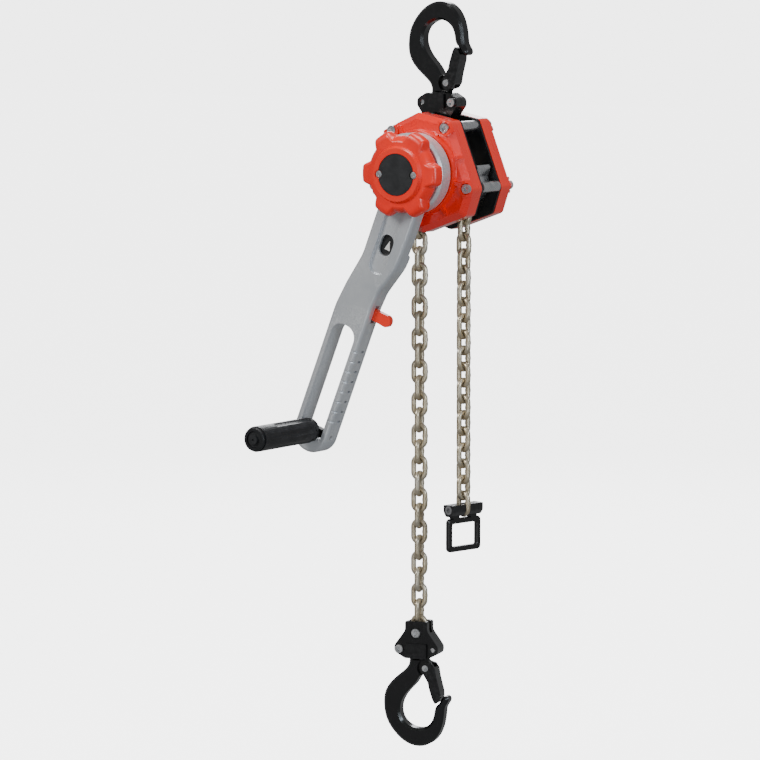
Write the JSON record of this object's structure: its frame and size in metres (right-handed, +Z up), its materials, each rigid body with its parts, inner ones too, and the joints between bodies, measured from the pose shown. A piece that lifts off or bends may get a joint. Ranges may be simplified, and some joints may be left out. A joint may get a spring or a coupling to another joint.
{
  "type": "lever chain hoist",
  "caption": "Hand lever hoist with folding crank grip, lobed hand knob, geared load sheave with ratchet brake, link chain, slack end stop and swivel safety hooks.",
  "frame": {"origin": "load seat inside the top hook's bowl, from which the hoist hangs", "axes": "+Z up along the hanging line, -Y towards the hand knob and lever, X across the two chain falls with the load fall at -X"},
  "size_m": [0.2073, 0.2224, 0.7887],
  "materials": {
    "black_forged": "gloss black",
    "black_plate": "satin black",
    "zinc": "bright zinc plate",
    "steel": "machined",
    "orange_paint": "gloss orange-red enamel",
    "orange_plastic": "gloss orange-red",
    "black_plastic": "matt black",
    "black_rubber": "matt black",
    "aluminium": "satin cast",
    "chain": "yellowish nickel plate",
    "bronze": "sintered bronze",
    "friction": "brake lining"
  },
  "bodies": {
    "top_hook": {"top_hook": "black_forged", "top_latch_fittings": "zinc"},
    "top_latch": {"top_hook_latch": "black_forged"},
    "frame": {"top_block_front": "black_forged", "top_block_rear": "black_forged", "top_block_bolts": "zinc", "suspension_pin": "steel", "front_side_plate": "black_plate", "rear_side_plate": "black_plate", "stay_bars": "zinc", "brake_cover": "orange_paint", "gear_cover": "orange_paint", "cover_nuts": "zinc", "chain_guide": "black_plate", "guide_pins": "steel", "chain_guards": "zinc", "sheave_bearings": "bronze", "gear_support_plate": "steel", "brake_ratchet_disc": "steel", "friction_discs": "friction", "brake_pawl_fittings": "steel", "load_chain_entry": "chain", "slack_chain_entry": "chain", "chain_over_sheave": "chain"},
    "sheave": {"load_sheave": "steel", "load_gear": "steel"},
    "gear_a": {"intermediate_gear_a": "steel"},
    "gear_b": {"intermediate_gear_b": "steel"},
    "drive_shaft": {"drive_shaft": "steel", "brake_flange": "steel", "drive_wheel": "steel", "hand_knob": "orange_plastic", "knob_cap": "black_plastic", "knob_fasteners": "zinc", "free_spool_spring": "steel"},
    "pawl_a": {"brake_pawl_a": "steel"},
    "pawl_b": {"brake_pawl_b": "steel"},
    "lever": {"lever": "aluminium", "lever_back_plate": "aluminium", "lever_back_screws": "zinc", "lever_pins": "steel", "grip_hinge_pin": "steel"},
    "selector": {"selector": "orange_plastic"},
    "selector_link": {"selector_link": "steel", "direction_plate": "black_plastic"},
    "drive_pawl": {"drive_pawl": "steel"},
    "grip_arm": {"grip_spindle": "black_plate", "grip_end_washer": "black_plastic"},
    "grip_sleeve": {"grip_sleeve": "black_rubber"},
    "load_fall": {"load_chain": "chain"},
    "slack_fall": {"slack_chain": "chain"},
    "bottom_block": {"bottom_block_front": "black_forged", "bottom_block_rear": "black_forged", "bottom_block_bolts": "zinc", "chain_pin": "zinc"},
    "bottom_hook": {"bottom_hook": "black_forged", "bottom_latch_fittings": "zinc"},
    "bottom_latch": {"bottom_hook_latch": "black_forged"},
    "end_stop": {"slack_end_stop": "black_forged", "stop_bolt": "steel"}
  },
  "joints": [
    {"name": "frame_swivel", "type": "hinge", "parent": "top_hook", "child": "frame", "pos_m": [0, 0, -0.0758], "axis": [0, 0, 1], "continuous": true},
    {"name": "top_latch_hinge", "type": "hinge", "parent": "top_hook", "child": "top_latch", "pos_m": [0.0098, 0, -0.0653], "axis": [0, -1, 0], "range_deg": [0, 24], "stiffness_Nm_per_rad": 0.15, "springref_deg": -22.92},
    {"name": "sheave_turn", "type": "hinge", "parent": "frame", "child": "sheave", "pos_m": [0, 0, -0.1572], "axis": [0, 1, 0], "range_deg": [-73, 73]},
    {"name": "gear_a_turn", "type": "hinge", "parent": "frame", "child": "gear_a", "pos_m": [0.02813, 0, -0.1572], "axis": [0, 1, 0], "range_deg": [-161, 161]},
    {"name": "gear_b_turn", "type": "hinge", "parent": "frame", "child": "gear_b", "pos_m": [-0.02813, 0, -0.1572], "axis": [0, 1, 0], "range_deg": [-161, 161]},
    {"name": "drive_shaft_turn", "type": "hinge", "parent": "frame", "child": "drive_shaft", "pos_m": [0, 0, -0.1572], "axis": [0, 1, 0], "range_deg": [-440, 440]},
    {"name": "load_chain_lift", "type": "slide", "parent": "frame", "child": "load_fall", "axis": [0, 0, 1], "range_m": [-0.034, 0.034], "deforming": ["load_chain_entry", "chain_over_sheave"]},
    {"name": "slack_chain_feed", "type": "slide", "parent": "frame", "child": "slack_fall", "axis": [0, 0, 1], "range_m": [-0.0345, 0.0345], "deforming": ["slack_chain_entry"]},
    {"name": "pawl_a_rock", "type": "hinge", "parent": "frame", "child": "pawl_a", "pos_m": [0.033, 0, -0.1842], "axis": [0, 1, 0], "range_deg": [0, 10], "stiffness_Nm_per_rad": 0.004, "springref_deg": -17.19},
    {"name": "pawl_b_rock", "type": "hinge", "parent": "frame", "child": "pawl_b", "pos_m": [-0.033, 0, -0.1302], "axis": [0, 1, 0], "range_deg": [0, 10], "stiffness_Nm_per_rad": 0.004, "springref_deg": -17.19},
    {"name": "lever_swing", "type": "hinge", "parent": "frame", "child": "lever", "pos_m": [0, -0.058, -0.1572], "axis": [0, 1, 0], "continuous": true},
    {"name": "selector_turn", "type": "hinge", "parent": "lever", "child": "selector", "pos_m": [-0.06369, -0.054, -0.30028], "axis": [0, 1, 0], "range_deg": [-10, 10]},
    {"name": "selector_link_shift", "type": "slide", "parent": "lever", "child": "selector_link", "axis": [0.9285, 0, -0.3714], "range_m": [-0.0019, 0.0019]},
    {"name": "drive_pawl_rock", "type": "hinge", "parent": "lever", "child": "drive_pawl", "pos_m": [-0.01114, -0.054, -0.19044], "axis": [0, 1, 0], "range_deg": [-5.5, 5.5]},
    {"name": "grip_fold", "type": "hinge", "parent": "lever", "child": "grip_arm", "pos_m": [-0.12162, -0.058, -0.43112], "axis": [-0.9285, 0, 0.3714], "range_deg": [0, 90]},
    {"name": "grip_spin", "type": "hinge", "parent": "grip_arm", "child": "grip_sleeve", "pos_m": [-0.12162, -0.11, -0.43112], "axis": [0, -1, 0], "continuous": true},
    {"name": "bottom_block_swing", "type": "hinge", "parent": "load_fall", "child": "bottom_block", "pos_m": [-0.02751, 0, -0.64734], "axis": [-0.2079, 0.9781, 0], "range_deg": [-12, 12]},
    {"name": "bottom_hook_swivel", "type": "hinge", "parent": "bottom_block", "child": "bottom_hook", "pos_m": [-0.02751, 0, -0.67444], "axis": [0, 0, 1], "continuous": true},
    {"name": "bottom_latch_hinge", "type": "hinge", "parent": "bottom_hook", "child": "bottom_latch", "pos_m": [-0.01792, 0.00204, -0.68494], "axis": [-0.2079, 0.9781, 0], "range_deg": [0, 24], "stiffness_Nm_per_rad": 0.15, "springref_deg": -22.92},
    {"name": "end_stop_swing", "type": "hinge", "parent": "slack_fall", "child": "end_stop", "pos_m": [0.02751, 0, -0.51129], "axis": [0.2079, 0.9781, 0], "range_deg": [-12, 12]}
  ],
  "couplings": [
    {"joint": "sheave_turn", "follows": "load_chain_lift", "rad_per_m": 36.96},
    {"joint": "gear_a_turn", "follows": "load_chain_lift", "rad_per_m": -81.841},
    {"joint": "gear_b_turn", "follows": "load_chain_lift", "rad_per_m": -81.841},
    {"joint": "drive_shaft_turn", "follows": "load_chain_lift", "rad_per_m": 225.06},
    {"joint": "slack_chain_feed", "follows": "load_chain_lift", "ratio": -1},
    {"joint": "selector_turn", "follows": "selector_link_shift", "rad_per_m": -90.909},
    {"joint": "drive_pawl_rock", "follows": "selector_link_shift", "rad_per_m": -45.455}
  ]
}
